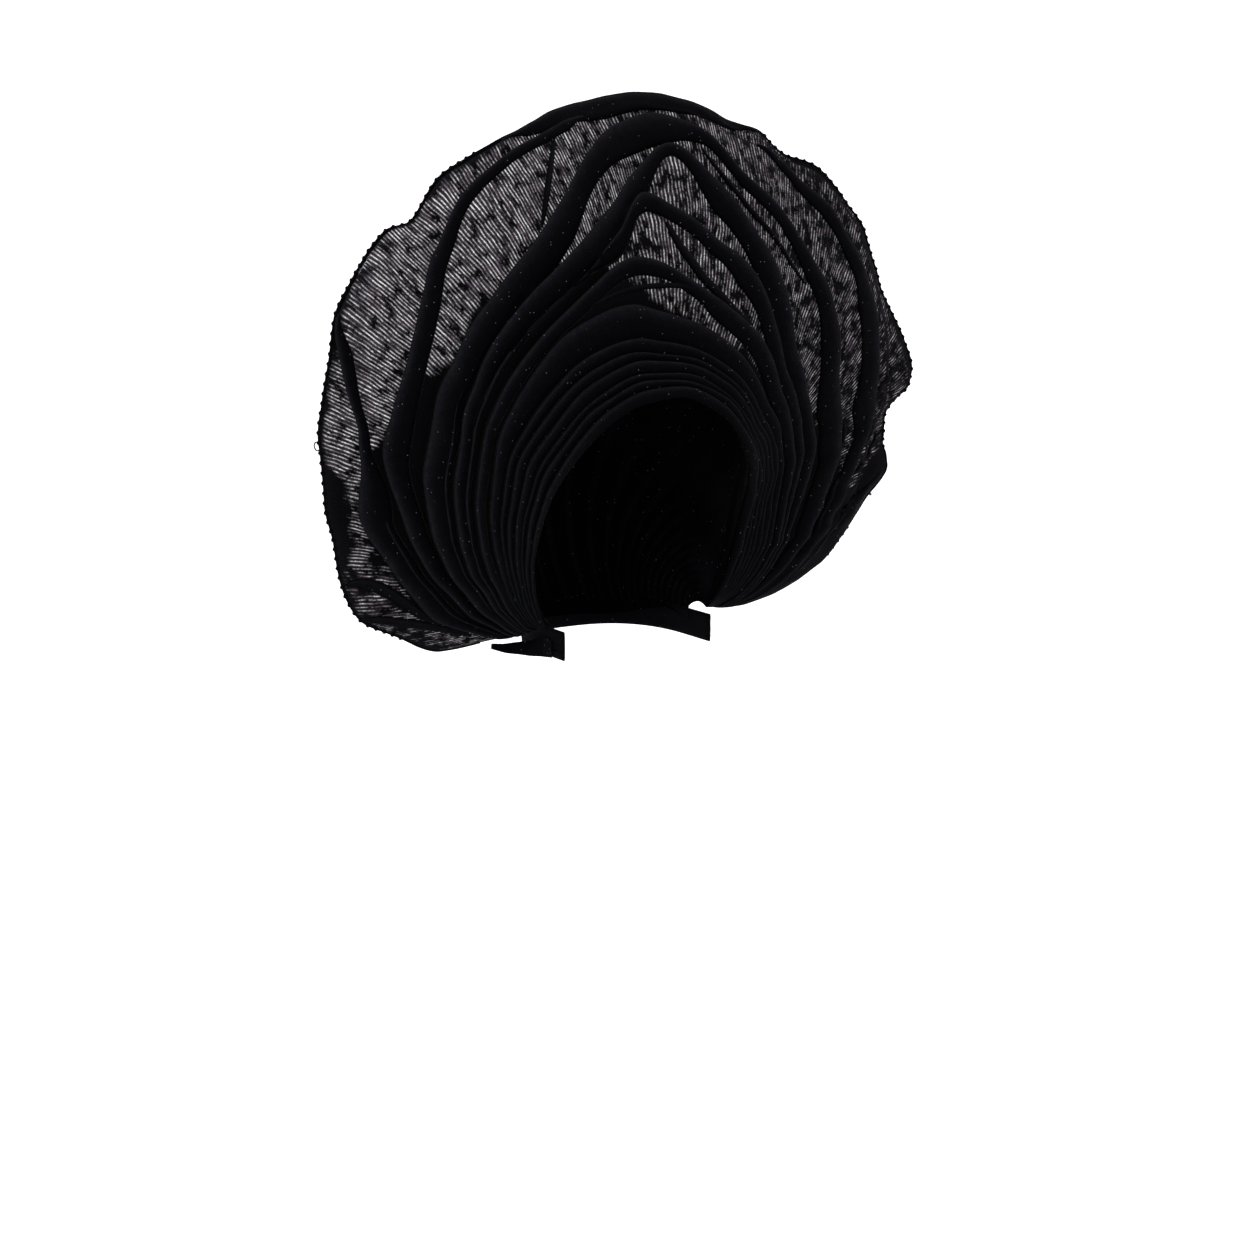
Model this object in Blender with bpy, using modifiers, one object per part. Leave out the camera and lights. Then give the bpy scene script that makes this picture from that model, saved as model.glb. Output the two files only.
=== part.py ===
"""Tied gele head tie: a pleated cloth fan on a close wrap round the head.

Units are millimetres in the tables and metres in the meshes. +Z is up, the
wearer faces -Y and the wearer's right is at -X. The origin is where the crown
of the head meets the inside of the cap.
"""
import math

import bmesh
import bpy
from mathutils import Vector

MM = 0.001

# Driving sizes
CLOTH = 1.2              # wall of the fan, wrap and cap
GAP = 0.5                # clearance between neighbouring pieces
END_TRIM = 0.02          # share of the arch left out at each nape gather
WRAP_FOLD_HEIGHT = 2.6   # how far a narrow pleat stands over the next one
WRAP_FOLD_STEP = 1.3     # width of the steep outer side of a narrow pleat
FAN_FOLD_STEP = 1.8      # width of the steep outer side of a wide fold
RUFFLE_DEPTH = 5.0       # the rim's sway to front and back
RUFFLE_WAVES = 9
BELLY = 26.0             # forward swell of the fan at the crown
SKULL_CENTRE = (0.0, 4.0, -108.0)
SKULL_SIZE = (79.0, 98.0, 109.6)
SKULL_POWER = 2.6
CAP_HINGE = (-6.0, -206.0)   # the line below the gathers that the cap swings round
CAP_TURN = 213.0             # where the cap's hem lies, in degrees from the front
CAP_RUNS = 11
BAND_HEIGHT = 19.0
BAND_WALL = 1.6
BAND_SIDE = 57.4
BAND_DEPTH = 70.6
BAND_FRONT = -21.0
BAND_TOP = -199.0
KNOT_SIZE = (17.0, 10.0, 13.0)
KNOT_FLAT = 7.0
KNOT_PLACE = (0.0, 83.3, -206.0)
TAIL_WALL = 2.0
LOOP_RADIUS = 2.6
LOOP_WIRE = 0.43
LOOP_STATION = 0.232
BALL_RADIUS = 1.1
BALL_STATION = 0.832

# Face opening: arch station, side, front, height
OPENING = (
    (0.00, -60, -8, -200),
    (0.06, -68, -11, -190),
    (0.12, -75, -16, -170),
    (0.18, -78, -21, -150),
    (0.24, -77, -28, -130),
    (0.30, -74, -38, -108),
    (0.36, -66, -56, -83),
    (0.42, -52, -71, -62),
    (0.46, -37, -80, -51),
    (0.50, -12, -88, -46),
    (0.54, 18, -86, -57),
    (0.58, 42, -77, -76),
    (0.64, 61, -60, -97),
    (0.70, 71, -44, -114),
    (0.76, 75, -31, -132),
    (0.82, 77, -22, -150),
    (0.88, 75, -16, -170),
    (0.94, 68, -11, -190),
    (1.00, 60, -8, -200),
)

# Rim of the cloth: arch station, side, front, height
RIM = (
    (0.000, -80, 12, -204),
    (0.045, -135, 0, -206),
    (0.075, -166, 0, -193),
    (0.100, -190, 0, -180),
    (0.125, -199, 0, -162),
    (0.165, -205, 0, -131),
    (0.195, -211, 0, -107),
    (0.235, -211, 0, -70),
    (0.275, -205, 0, -30),
    (0.300, -201, 0, 2),
    (0.330, -184, 4, 28),
    (0.360, -157, 9, 54),
    (0.372, -145, 10, 57),
    (0.395, -123, 12, 86),
    (0.425, -82, 15, 109),
    (0.470, -19, 20, 135),
    (0.500, 27, 20, 143),
    (0.525, 64, 18, 138),
    (0.545, 90, 15, 129),
    (0.565, 117, 12, 124),
    (0.590, 143, 10, 108),
    (0.605, 160, 7, 103),
    (0.620, 176, 5, 87),
    (0.650, 199, 2, 59),
    (0.685, 218, -4, 21),
    (0.705, 231, -6, -5),
    (0.735, 241, -8, -39),
    (0.770, 217, -10, -70),
    (0.785, 216, -10, -84),
    (0.812, 223, -10, -107),
    (0.840, 199, -8, -135),
    (0.865, 182, -6, -155),
    (0.890, 166, -3, -174),
    (0.930, 137, 3, -192),
    (1.000, 80, 12, -206),
)

# Rows of the rim that are small notches and tips: they bend only the cloth beside the rim
RIM_NOTCHES = (0.360, 0.372, 0.545, 0.605, 0.735, 0.770, 0.785, 0.812)
BODY_RIM = tuple(row for row in RIM if row[0] not in RIM_NOTCHES)

# Outer edges of the wide folds as shares from the opening to the rim, a row for each section:
# arch station, brow, hollow, inner, peak, arch, wing, hem
FOLD_EDGES = (
    (0.00, 0.13, 0.17, 0.20, 0.24, 0.30, 0.35, 0.42),
    (0.05, 0.14, 0.19, 0.22, 0.25, 0.32, 0.37, 0.45),
    (0.10, 0.16, 0.21, 0.25, 0.28, 0.37, 0.44, 0.55),
    (0.15, 0.21, 0.28, 0.33, 0.38, 0.49, 0.59, 0.70),
    (0.20, 0.26, 0.33, 0.38, 0.43, 0.56, 0.68, 0.79),
    (0.25, 0.30, 0.37, 0.42, 0.47, 0.60, 0.72, 0.79),
    (0.30, 0.33, 0.39, 0.44, 0.49, 0.60, 0.70, 0.93),
    (0.35, 0.35, 0.41, 0.46, 0.52, 0.61, 0.77, 0.97),
    (0.40, 0.37, 0.42, 0.47, 0.54, 0.64, 0.88, 0.97),
    (0.43, 0.36, 0.42, 0.48, 0.57, 0.71, 0.92, 0.97),
    (0.46, 0.33, 0.45, 0.53, 0.63, 0.81, 0.94, 0.97),
    (0.48, 0.28, 0.41, 0.61, 0.71, 0.87, 0.95, 0.97),
    (0.50, 0.24, 0.34, 0.60, 0.78, 0.89, 0.95, 0.97),
    (0.52, 0.22, 0.29, 0.49, 0.69, 0.87, 0.95, 0.97),
    (0.54, 0.20, 0.27, 0.42, 0.57, 0.76, 0.94, 0.97),
    (0.57, 0.17, 0.24, 0.30, 0.47, 0.67, 0.94, 0.97),
    (0.60, 0.15, 0.20, 0.25, 0.34, 0.60, 0.93, 0.97),
    (0.65, 0.15, 0.19, 0.24, 0.29, 0.49, 0.90, 0.96),
    (0.70, 0.16, 0.20, 0.24, 0.29, 0.38, 0.63, 0.80),
    (0.75, 0.17, 0.21, 0.25, 0.29, 0.34, 0.46, 0.66),
    (0.80, 0.20, 0.24, 0.27, 0.30, 0.35, 0.46, 0.65),
    (0.85, 0.24, 0.28, 0.31, 0.34, 0.39, 0.52, 0.70),
    (0.92, 0.27, 0.30, 0.34, 0.37, 0.42, 0.56, 0.72),
    (1.00, 0.28, 0.32, 0.36, 0.39, 0.44, 0.58, 0.74),
)

# Wide folds: column in FOLD_EDGES, height at the left, at the crown and at the right
FAN_FOLDS = (
    ("hollow", 2, 3.5, 7.0, 3.5),
    ("inner", 3, 3.0, 6.0, 3.5),
    ("peak", 4, 4.0, 8.0, 4.5),
    ("arch", 5, 4.5, 6.0, 5.5),
    ("wing", 6, 5.0, 1.0, 6.0),
    ("hem", 7, 4.0, 1.0, 2.5),
)

# Narrow pleats: share of the wrap's width at the left, at the brow and at the right
WRAP_FOLDS = (
    (0.14, 0.14, 0.20),
    (0.29, 0.23, 0.33),
    (0.38, 0.31, 0.45),
    (0.53, 0.44, 0.57),
    (0.68, 0.53, 0.70),
    (0.80, 0.66, 0.84),
    (0.90, 0.90, 0.91),
)

# The tail's middle line from the band to its tip: side, depth, height, width
TAIL = (
    (-59.6, -8, -212, 12),
    (-60.2, 4, -213, 13),
    (-66, 14, -215, 10),
    (-76, 20, -215, 7),
    (-87, 23, -213, 4),
)

COLOURS = {
    "black_cloth": ((0.006, 0.006, 0.008, 1.0), 0.0, 0.85),
    "pin_wire": ((0.30, 0.26, 0.24, 1.0), 1.0, 0.35),
    "pin_head": ((0.05, 0.045, 0.045, 1.0), 0.0, 0.3),
}


def run_through(table, station, column):
    """A smooth run through one column that never overshoots a row."""
    last = len(table) - 2
    k = 0
    while k < last and table[k + 1][0] < station:
        k += 1

    def rise(i):
        return (table[i + 1][column] - table[i][column]) / (table[i + 1][0] - table[i][0])

    def slope(i):
        if i == 0:
            return rise(0)
        if i == len(table) - 1:
            return rise(i - 1)
        before, after = rise(i - 1), rise(i)
        if before * after <= 0:
            return 0.0
        return 2 * before * after / (before + after)

    span = table[k + 1][0] - table[k][0]
    t = (station - table[k][0]) / span
    return (
        table[k][column] * (1 + 2 * t) * (1 - t) ** 2
        + slope(k) * span * t * (1 - t) ** 2
        + table[k + 1][column] * t * t * (3 - 2 * t)
        + slope(k + 1) * span * t * t * (t - 1)
    )


def spot(table, station):
    return Vector(run_through(table, station, column) for column in (1, 2, 3))


def sway(station, share):
    """The rim's ruffle, none at the wrap and at the gathers."""
    ends = math.sin(math.pi * station)
    return RUFFLE_DEPTH * share ** 3 * ends * math.sin(2 * math.pi * RUFFLE_WAVES * station)


def smooth_cloth(station, share):
    """The cloth's general form, without its folds."""
    body = spot(BODY_RIM, station)
    swell = BELLY * math.sin(math.pi * station) ** 1.2 * 4 * share * (1 - share)
    place = spot(OPENING, station).lerp(body, share)
    place += (spot(RIM, station) - body) * share ** 5
    place.y += sway(station, share) - swell
    return place


def facing(station, share):
    """The cloth's outward direction, towards the front."""
    step = 0.004
    along = smooth_cloth(station + step, share) - smooth_cloth(station - step, share)
    across = smooth_cloth(station, share + step) - smooth_cloth(station, share - step)
    normal = along.cross(across).normalized()
    return normal if normal.y < 0 else -normal


def spoke_length(station):
    return (spot(BODY_RIM, station) - spot(OPENING, station)).length


def fold_room(length):
    """Folds flatten towards the gathers."""
    return min(1.0, max(0.0, (length - 45) / 90))


def by_side(station, left, crown, right):
    """Left, crown and right values blended along the arch."""
    if station < 0.5:
        t = min(max((station - 0.25) / 0.25, 0.0), 1.0)
        return left + (crown - left) * t * t * (3 - 2 * t)
    t = min(max((station - 0.5) / 0.2, 0.0), 1.0)
    return crown + (right - crown) * t * t * (3 - 2 * t)


def wrap_rows(station):
    """Share and height of each row of the narrow pleats, from the opening outwards."""
    length = spoke_length(station)
    edge = run_through(FOLD_EDGES, station, 1) - GAP / length
    step = WRAP_FOLD_STEP / length
    rows = [(0.0, 0.0)]
    start = 0.0
    for left, crown, right in WRAP_FOLDS:
        end = edge * by_side(station, left, crown, right)
        width = (end - start) * length
        height = WRAP_FOLD_HEIGHT * min(1.0, width / 7.0) ** 1.5 * fold_room(length)
        foot = min(step, (end - start) * 0.3)
        rows.append((end - foot * 0.4, height))
        start = end
        rows.append((end + foot * 0.6, 0.0))
    rows.append((edge, 0.0))
    return rows


def fan_rows(station):
    """Share and height of each row of the fan, from the wrap to the rim."""
    length = spoke_length(station)
    start = run_through(FOLD_EDGES, station, 1) + GAP / length
    step = FAN_FOLD_STEP / length
    rows = [(start, 0.0)]
    for _, column, left, crown, right in FAN_FOLDS:
        end = run_through(FOLD_EDGES, station, column)
        width = (end - start) * length
        height = by_side(station, left, crown, right) * min(1.0, width / 9.0) ** 1.5
        height *= fold_room(length)
        foot = min(step, (end - start) * 0.3)
        rows.append((start + (end - start) * 0.45, height * 0.35))
        rows.append((end - foot * 0.6, height))
        rows.append((end + foot * 0.6, 0.0))
        start = end
    rows.append((start + (1.0 - start) * 0.6, 0.0))
    rows.append((1.0, 0.0))
    return rows


def skull_reach(direction):
    """Distance from the skull's centre to the inside of the cap."""
    terms = (abs(part) / size for part, size in zip(direction, SKULL_SIZE))
    return sum(term ** SKULL_POWER for term in terms) ** (-1 / SKULL_POWER)


def cap_spot(station, run):
    """A place inside the cap, on the way from the opening back to the nape."""
    centre = Vector(SKULL_CENTRE)
    front = spot(OPENING, station)
    depth, height = front.y - CAP_HINGE[0], front.z - CAP_HINGE[1]
    start = math.atan2(height, -depth)
    angle = start + (math.radians(CAP_TURN) - start) * run
    arm = math.hypot(depth, height)
    swung = Vector((
        front.x,
        CAP_HINGE[0] - math.cos(angle) * arm,
        CAP_HINGE[1] + math.sin(angle) * arm,
    ))
    direction = (swung - centre).normalized()
    start_direction = (front - centre).normalized()
    inside = (front - centre).length - 1.5 * CLOTH - GAP
    share = inside / skull_reach(start_direction)
    fade = max(0.0, 1 - run / 0.3)
    return centre + direction * skull_reach(direction) * (1 + (share - 1) * fade * fade)


def material(name):
    colour, metallic, roughness = COLOURS[name]
    made = bpy.data.materials.get(name)
    if made is None:
        made = bpy.data.materials.new(name)
        made.use_nodes = True
        shader = made.node_tree.nodes["Principled BSDF"]
        shader.inputs["Base Color"].default_value = colour
        shader.inputs["Metallic"].default_value = metallic
        shader.inputs["Roughness"].default_value = roughness
    return made


def add_object(name, data, slot, collection):
    data.materials.append(material(slot))
    made = bpy.data.objects.new(name, data)
    collection.objects.link(made)
    return made


def sheet_mesh(name, rows_of_points):
    """An open sheet lofted through rows of points, in millimetres."""
    bm = bmesh.new()
    grid = [[bm.verts.new(point * MM) for point in row] for row in rows_of_points]
    for first, second in zip(grid, grid[1:]):
        for k in range(len(first) - 1):
            bm.faces.new((first[k], first[k + 1], second[k + 1], second[k]))
    mesh = bpy.data.meshes.new(name)
    bm.to_mesh(mesh)
    bm.free()
    return mesh


def thicken(made, wall, offset):
    solid = made.modifiers.new("wall", "SOLIDIFY")
    solid.thickness = wall * MM
    solid.offset = offset


def pleated_sheet(name, sections, row_rule, collection):
    rows = []
    for k in range(sections + 1):
        station = END_TRIM + (1 - 2 * END_TRIM) * k / sections
        row = []
        for share, height in row_rule(station):
            row.append(smooth_cloth(station, share) + facing(station, min(share, 0.995)) * height)
        rows.append(row)
    made = add_object(name, sheet_mesh(name, rows), "black_cloth", collection)
    thicken(made, CLOTH, 0.0)


def crown_cap(collection):
    rows = []
    for k in range(29):
        station = END_TRIM + (1 - 2 * END_TRIM) * k / 28
        rows.append([cap_spot(station, run / CAP_RUNS) for run in range(CAP_RUNS + 1)])
    made = add_object("crown_cap", sheet_mesh("crown_cap", rows), "black_cloth", collection)
    thicken(made, CLOTH, -1.0)


def band_line():
    """The nape band's middle line seen from above, from side to side round the back."""
    line = [(-BAND_SIDE, BAND_FRONT), (-BAND_SIDE, -8.0)]
    for k in range(21):
        turn = math.pi * k / 20
        side = math.copysign(abs(math.cos(turn)) ** (2 / SKULL_POWER), -math.cos(turn))
        depth = abs(math.sin(turn)) ** (2 / SKULL_POWER)
        line.append((BAND_SIDE * side, SKULL_CENTRE[1] + BAND_DEPTH * depth))
    return line + [(BAND_SIDE, -8.0), (BAND_SIDE, BAND_FRONT)]


def nape_band(collection):
    drops = [BAND_TOP - BAND_HEIGHT * share for share in (0.0, 0.5, 1.0)]
    rows = [[Vector((side, depth, drop)) for drop in drops] for side, depth in band_line()]
    made = add_object("nape_band", sheet_mesh("nape_band", rows), "black_cloth", collection)
    thicken(made, BAND_WALL, 0.0)


def tie_knot(collection):
    """A rounded knot, flat where it lies on the band."""
    bm = bmesh.new()
    bmesh.ops.create_icosphere(bm, subdivisions=3, radius=1.0)
    for vert in bm.verts:
        swell = 1 + 0.06 * math.sin(9 * vert.co.x + 4 * vert.co.z)
        grown = Vector(part * size * swell for part, size in zip(vert.co, KNOT_SIZE))
        grown.y = max(grown.y, -KNOT_FLAT)
        vert.co = (grown + Vector(KNOT_PLACE)) * MM
    mesh = bpy.data.meshes.new("tie_knot")
    bm.to_mesh(mesh)
    bm.free()
    add_object("tie_knot", mesh, "black_cloth", collection)


def tie_tail(collection):
    rows = []
    for side, depth, height, width in TAIL:
        rows.append([Vector((side, depth, height + width * part)) for part in (-0.5, 0.0, 0.5)])
    made = add_object("tie_tail", sheet_mesh("tie_tail", rows), "black_cloth", collection)
    thicken(made, TAIL_WALL, 0.0)


def beside_rim(station, distance):
    """A place just outside the rim, square to it."""
    outer = smooth_cloth(station, 1.0)
    along = (smooth_cloth(station + 0.004, 1.0) - smooth_cloth(station - 0.004, 1.0)).normalized()
    spoke = outer - smooth_cloth(station, 0.99)
    outwards = (spoke - along * spoke.dot(along)).normalized()
    return outer + outwards * distance


def loop_pin(collection):
    place = beside_rim(LOOP_STATION, LOOP_RADIUS + LOOP_WIRE - 1.5)
    bpy.ops.mesh.primitive_torus_add(
        major_radius=LOOP_RADIUS * MM,
        minor_radius=LOOP_WIRE * MM,
        major_segments=24,
        minor_segments=8,
        rotation=(math.radians(80), 0, math.radians(30)),
        location=place * MM,
    )
    keep_primitive("loop_pin", "pin_wire", collection)


def ball_pin(collection):
    bpy.ops.mesh.primitive_uv_sphere_add(
        segments=16,
        ring_count=10,
        radius=BALL_RADIUS * MM,
        location=beside_rim(BALL_STATION, BALL_RADIUS + 0.4) * MM,
    )
    keep_primitive("ball_pin", "pin_head", collection)


def keep_primitive(name, slot, collection):
    made = bpy.context.active_object
    made.name = name
    made.data.name = name
    made.data.materials.append(material(slot))
    for other in list(made.users_collection):
        other.objects.unlink(made)
    collection.objects.link(made)


def clear_scene():
    for old in list(bpy.data.objects):
        bpy.data.objects.remove(old, do_unlink=True)


def build():
    clear_scene()
    collection = bpy.data.collections.new("tied_gele")
    bpy.context.scene.collection.children.link(collection)
    pleated_sheet("fan", 72, fan_rows, collection)
    pleated_sheet("front_wrap", 44, wrap_rows, collection)
    crown_cap(collection)
    nape_band(collection)
    tie_knot(collection)
    tie_tail(collection)
    loop_pin(collection)
    ball_pin(collection)


build()
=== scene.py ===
import math

import bmesh
import bpy
import numpy as np
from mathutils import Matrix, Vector


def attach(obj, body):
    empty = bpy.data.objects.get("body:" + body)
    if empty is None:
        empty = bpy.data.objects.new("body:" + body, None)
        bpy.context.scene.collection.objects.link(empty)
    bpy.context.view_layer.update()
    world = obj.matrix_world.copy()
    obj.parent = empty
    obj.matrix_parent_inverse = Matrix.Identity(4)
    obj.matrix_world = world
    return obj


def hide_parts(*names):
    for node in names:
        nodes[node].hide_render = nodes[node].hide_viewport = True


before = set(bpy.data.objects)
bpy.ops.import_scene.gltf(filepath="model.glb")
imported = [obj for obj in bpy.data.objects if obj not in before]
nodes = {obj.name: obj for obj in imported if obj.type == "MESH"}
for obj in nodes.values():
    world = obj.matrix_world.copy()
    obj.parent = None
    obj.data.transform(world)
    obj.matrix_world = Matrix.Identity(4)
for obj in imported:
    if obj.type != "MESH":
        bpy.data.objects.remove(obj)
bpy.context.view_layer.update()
mm = 0.001
print("frame loaded:", len(nodes), "nodes")

# Lengths and places are in millimetres. The station runs from the wearer's right nape (0) over the
# brow (0.5) to the left nape (1); the share runs from the face opening (0) to the rim (1).
opening = (  # station, side, front, height
    (0.00, -60, -8, -200), (0.06, -68, -11, -190), (0.12, -75, -16, -170), (0.18, -78, -21, -150),
    (0.24, -77, -28, -130), (0.30, -74, -38, -108), (0.36, -66, -56, -83), (0.42, -52, -71, -62),
    (0.46, -37, -80, -51), (0.50, -12, -88, -46), (0.54, 18, -86, -57), (0.58, 42, -77, -76),
    (0.64, 61, -60, -97), (0.70, 71, -44, -114), (0.76, 75, -31, -132), (0.82, 77, -22, -150),
    (0.88, 75, -16, -170), (0.94, 68, -11, -190), (1.00, 60, -8, -200),
)
rim = (  # station, side, front, height
    (0.000, -80, 12, -204), (0.045, -135, 0, -206), (0.075, -166, 0, -193), (0.100, -190, 0, -180),
    (0.125, -199, 0, -162), (0.165, -205, 0, -131), (0.195, -211, 0, -107), (0.235, -211, 0, -70),
    (0.275, -205, 0, -30), (0.300, -201, 0, 2), (0.330, -184, 4, 28), (0.360, -157, 9, 54),
    (0.372, -145, 10, 57), (0.395, -123, 12, 86), (0.425, -82, 15, 109), (0.470, -19, 20, 135),
    (0.500, 27, 20, 143), (0.525, 64, 18, 138), (0.545, 90, 15, 129), (0.565, 117, 12, 124),
    (0.590, 143, 10, 108), (0.605, 160, 7, 103), (0.620, 176, 5, 87), (0.650, 199, 2, 59),
    (0.685, 218, -4, 21), (0.705, 231, -6, -5), (0.735, 241, -8, -39), (0.770, 217, -10, -70),
    (0.785, 216, -10, -84), (0.812, 223, -10, -107), (0.840, 199, -8, -135), (0.865, 182, -6, -155),
    (0.890, 166, -3, -174), (0.930, 137, 3, -192), (1.000, 80, 12, -206),
)
# Small notches and tips of the rim, which bend only the cloth beside it
rimNotches = (0.360, 0.372, 0.545, 0.605, 0.735, 0.770, 0.785, 0.812)
bodyRim = tuple(row for row in rim if row[0] not in rimNotches)
foldEdges = (  # station, then the outer edge of: brow, hollow, inner, peak, arch, wing, hem
    (0.00, 0.13, 0.17, 0.20, 0.24, 0.30, 0.35, 0.42),
    (0.05, 0.14, 0.19, 0.22, 0.25, 0.32, 0.37, 0.48),
    (0.08, 0.15, 0.20, 0.23, 0.27, 0.34, 0.41, 0.60),
    (0.12, 0.18, 0.23, 0.27, 0.31, 0.41, 0.49, 0.68),
    (0.15, 0.21, 0.28, 0.33, 0.38, 0.49, 0.59, 0.76),
    (0.20, 0.26, 0.33, 0.38, 0.43, 0.56, 0.68, 0.86),
    (0.23, 0.29, 0.36, 0.41, 0.46, 0.59, 0.74, 0.84),
    (0.25, 0.30, 0.37, 0.42, 0.47, 0.60, 0.76, 0.85),
    (0.28, 0.32, 0.385, 0.43, 0.48, 0.60, 0.745, 0.94),
    (0.30, 0.33, 0.39, 0.44, 0.49, 0.60, 0.73, 0.985),
    (0.32, 0.34, 0.40, 0.45, 0.50, 0.60, 0.75, 0.985),
    (0.345, 0.35, 0.41, 0.46, 0.52, 0.61, 0.79, 0.985),
    (0.37, 0.36, 0.415, 0.465, 0.53, 0.62, 0.855, 0.985),
    (0.40, 0.37, 0.42, 0.47, 0.54, 0.64, 0.91, 0.985),
    (0.43, 0.36, 0.44, 0.49, 0.57, 0.71, 0.94, 0.985),
    (0.46, 0.33, 0.46, 0.55, 0.63, 0.81, 0.94, 0.985),
    (0.48, 0.28, 0.42, 0.64, 0.71, 0.87, 0.95, 0.985),
    (0.50, 0.24, 0.345, 0.56, 0.78, 0.89, 0.95, 0.98),
    (0.52, 0.22, 0.305, 0.495, 0.69, 0.87, 0.95, 0.98),
    (0.54, 0.20, 0.28, 0.46, 0.58, 0.76, 0.94, 0.97),
    (0.57, 0.17, 0.24, 0.33, 0.45, 0.69, 0.92, 0.97),
    (0.60, 0.15, 0.20, 0.26, 0.33, 0.63, 0.88, 0.97),
    (0.64, 0.15, 0.19, 0.24, 0.29, 0.53, 0.82, 0.96),
    (0.68, 0.155, 0.195, 0.24, 0.29, 0.45, 0.79, 0.94),
    (0.71, 0.16, 0.20, 0.24, 0.29, 0.43, 0.67, 0.84),
    (0.75, 0.17, 0.21, 0.25, 0.30, 0.46, 0.65, 0.80),
    (0.80, 0.20, 0.24, 0.27, 0.31, 0.46, 0.62, 0.78),
    (0.85, 0.24, 0.28, 0.31, 0.34, 0.46, 0.60, 0.76),
    (0.92, 0.27, 0.30, 0.34, 0.37, 0.46, 0.60, 0.76),
    (1.00, 0.28, 0.32, 0.36, 0.39, 0.47, 0.60, 0.76),
)
edgeColumn = {"brow": 1, "hollow": 2, "inner": 3, "peak": 4, "arch": 5, "wing": 6, "hem": 7}
foldRise = {  # how far each fold stands over the next: left, crown, right
    "hollow": (3.5, 7.0, 3.5), "inner": (3.0, 6.0, 3.5), "peak": (4.0, 8.0, 4.5),
    "arch": (4.5, 6.0, 5.5), "wing": (5.0, 1.0, 6.0), "hem": (4.0, 1.0, 2.5),
}
cloth = {"belly": 26.0, "ruffleDepth": 5.0, "ruffleWaves": 9, "endTrim": 0.02, "foldStep": 1.2}
# No folds where opening and rim lie this close; they grow to their full height over the next stretch
room = {"none": 45, "over": 90}


def smoothRun(table, column, at):
    # a monotone cubic through one column, the same run as the solids follow
    rows = np.array([(row[0], row[column]) for row in table], float)
    x, y = rows[:, 0], rows[:, 1]
    span = np.diff(x)
    rise = np.diff(y) / span
    slope = np.empty_like(y)
    slope[0], slope[-1] = rise[0], rise[-1]
    same = rise[:-1] * rise[1:] > 0
    total = np.where(same, rise[:-1] + rise[1:], 1.0)
    slope[1:-1] = np.where(same, 2 * rise[:-1] * rise[1:] / total, 0.0)
    at = np.asarray(at, float)
    k = np.clip(np.searchsorted(x, at, side="right") - 1, 0, len(span) - 1)
    t = (at - x[k]) / span[k]
    return (
        y[k] * (1 + 2 * t) * (1 - t) ** 2 + slope[k] * span[k] * t * (1 - t) ** 2
        + y[k + 1] * t * t * (3 - 2 * t) + slope[k + 1] * span[k] * t * t * (t - 1)
    )


def spots(table, station):
    return np.stack([smoothRun(table, column, station) for column in (1, 2, 3)], -1)


def clothAt(station, share):
    station, share = np.broadcast_arrays(np.asarray(station, float), np.asarray(share, float))
    inner, body, outer = spots(opening, station), spots(bodyRim, station), spots(rim, station)
    place = inner + (body - inner) * share[..., None] + (outer - body) * share[..., None] ** 5
    arch = np.sin(np.pi * np.clip(station, 0, 1))
    sway = cloth["ruffleDepth"] * share ** 3 * arch * np.sin(2 * np.pi * cloth["ruffleWaves"] * station)
    place[..., 1] += sway - cloth["belly"] * np.abs(arch) ** 1.2 * 4 * share * (1 - share)
    return place


def clothFacing(station, share):
    step = 0.004
    along = clothAt(station + step, share) - clothAt(station - step, share)
    across = clothAt(station, share + step) - clothAt(station, share - step)
    normal = np.cross(along, across)
    normal /= np.linalg.norm(normal, axis=-1, keepdims=True)
    return np.where(normal[..., 1:2] < 0, normal, -normal)


def spokeLength(station):
    return np.linalg.norm(spots(bodyRim, station) - spots(opening, station), axis=-1)


def bySide(station, values):
    left, crown, right = values
    a = np.clip((station - 0.25) / 0.25, 0, 1)
    b = np.clip((station - 0.5) / 0.2, 0, 1)
    first = left + (crown - left) * a * a * (3 - 2 * a)
    second = crown + (right - crown) * b * b * (3 - 2 * b)
    return np.where(station < 0.5, first, second)


def foldRoom(length):
    return np.clip((length - room["none"]) / room["over"], 0, 1)


def edgeOf(fold, station):
    return smoothRun(foldEdges, edgeColumn[fold], station)


def drift(a, b, seed):
    # a slow smooth wander, mostly between -1 and 1 and the same on every run
    rng = np.random.default_rng(seed)
    total = 0
    for _ in range(5):
        fa, fb, phase = rng.uniform(0.6, 1.9), rng.uniform(0.6, 1.9), rng.uniform(0, 6.28)
        total = total + np.sin(fa * a + fb * b * rng.choice([-1, 1]) + phase)
    return total / 3.2


def gridMesh(name, places, closed=False, flip=False):
    # a sheet through a grid of places in millimetres, or a tube where its last column meets its first
    rows, columns = places.shape[:2]
    index = np.arange(rows * columns).reshape(rows, columns)
    if closed:
        index = np.concatenate([index, index[:, :1]], 1)
    quads = np.stack([index[:-1, :-1], index[:-1, 1:], index[1:, 1:], index[1:, :-1]], -1).reshape(-1, 4)
    if flip:
        quads = quads[:, ::-1]
    mesh = bpy.data.meshes.new(name)
    mesh.from_pydata((places.reshape(-1, 3) * mm).tolist(), [], quads.tolist())
    mesh.polygons.foreach_set("use_smooth", [True] * len(mesh.polygons))
    mesh.update()
    made = bpy.data.objects.new(name, mesh)
    bpy.context.scene.collection.objects.link(made)
    return made


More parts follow.
